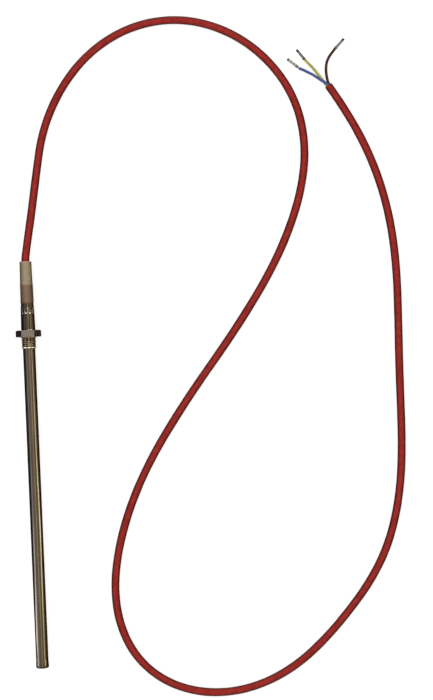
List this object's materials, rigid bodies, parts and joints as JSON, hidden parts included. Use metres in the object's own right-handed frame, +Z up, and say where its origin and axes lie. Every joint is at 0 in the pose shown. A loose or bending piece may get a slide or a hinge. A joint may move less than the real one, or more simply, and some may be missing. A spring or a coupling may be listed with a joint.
{
  "type": "flame sensor probe",
  "caption": "Long closed-end steel probe with a hexagonal screw-in fitting, a crimped neck with a heat sleeve, and a looped red lead that ends in splayed ferruled cores.",
  "frame": {"origin": "centre of the hexagon's seating face, on the probe's axis", "axes": "+Y along the probe's axis from the closed tip towards the lead, +Z up from the floor that the part lies on, +X to the side on which the lead is looped"},
  "size_m": [0.3137, 0.5525, 0.018],
  "materials": {
    "steel_sheath": "drawn stainless tube, heat-tinted",
    "steel_fitting": "machined stainless",
    "steel_neck": "swaged stainless, polished by handling",
    "weld_metal": "bright weld bead",
    "sleeve_glass_silicone": "cream silicone-coated glass sleeve, browned by heat at its lower end",
    "silicone_red": "matt red silicone",
    "insulation_brown": "brown silicone",
    "insulation_blue": "blue silicone",
    "insulation_green_yellow": "yellow silicone with a green stripe",
    "tinned_copper": "tinned copper strand",
    "ferrule_tin": "tin-plated copper, crimped",
    "silicone_natural": "natural silicone",
    "potting": "potting compound",
    "clip_steel": "spring steel, bright",
    "glass_sleeving": "braided glass sleeving",
    "lead_alloy": "thermo-alloy wire",
    "ceramic": "sintered alumina",
    "cement": "ceramic cement",
    "magnesia": "packed magnesia powder"
  },
  "bodies": {
    "root": {"threaded_fitting": "steel_fitting", "sheath_tube": "steel_sheath", "tip_plug": "steel_sheath", "neck_tube": "steel_neck", "tack_welds": "weld_metal", "heat_sleeve": "sleeve_glass_silicone", "cable_jacket": "silicone_red", "core_brown": "insulation_brown", "core_green_yellow": "insulation_green_yellow", "core_blue": "insulation_blue", "conductor_brown": "tinned_copper", "conductor_earth": "tinned_copper", "conductor_blue": "tinned_copper", "ferrule_brown": "ferrule_tin", "ferrule_earth": "ferrule_tin", "ferrule_blue": "ferrule_tin", "crimp_bush": "silicone_natural", "potting_plug": "potting", "earth_clip": "clip_steel", "splice_brown": "tinned_copper", "splice_blue": "tinned_copper", "splice_sleeve_brown": "glass_sleeving", "splice_sleeve_blue": "glass_sleeving", "lead_wire_positive": "lead_alloy", "lead_wire_negative": "lead_alloy", "cement_plug": "cement", "insulator_beads": "ceramic", "magnesia_fill": "magnesia", "sensing_junction": "lead_alloy"}
  },
  "joints": []
}
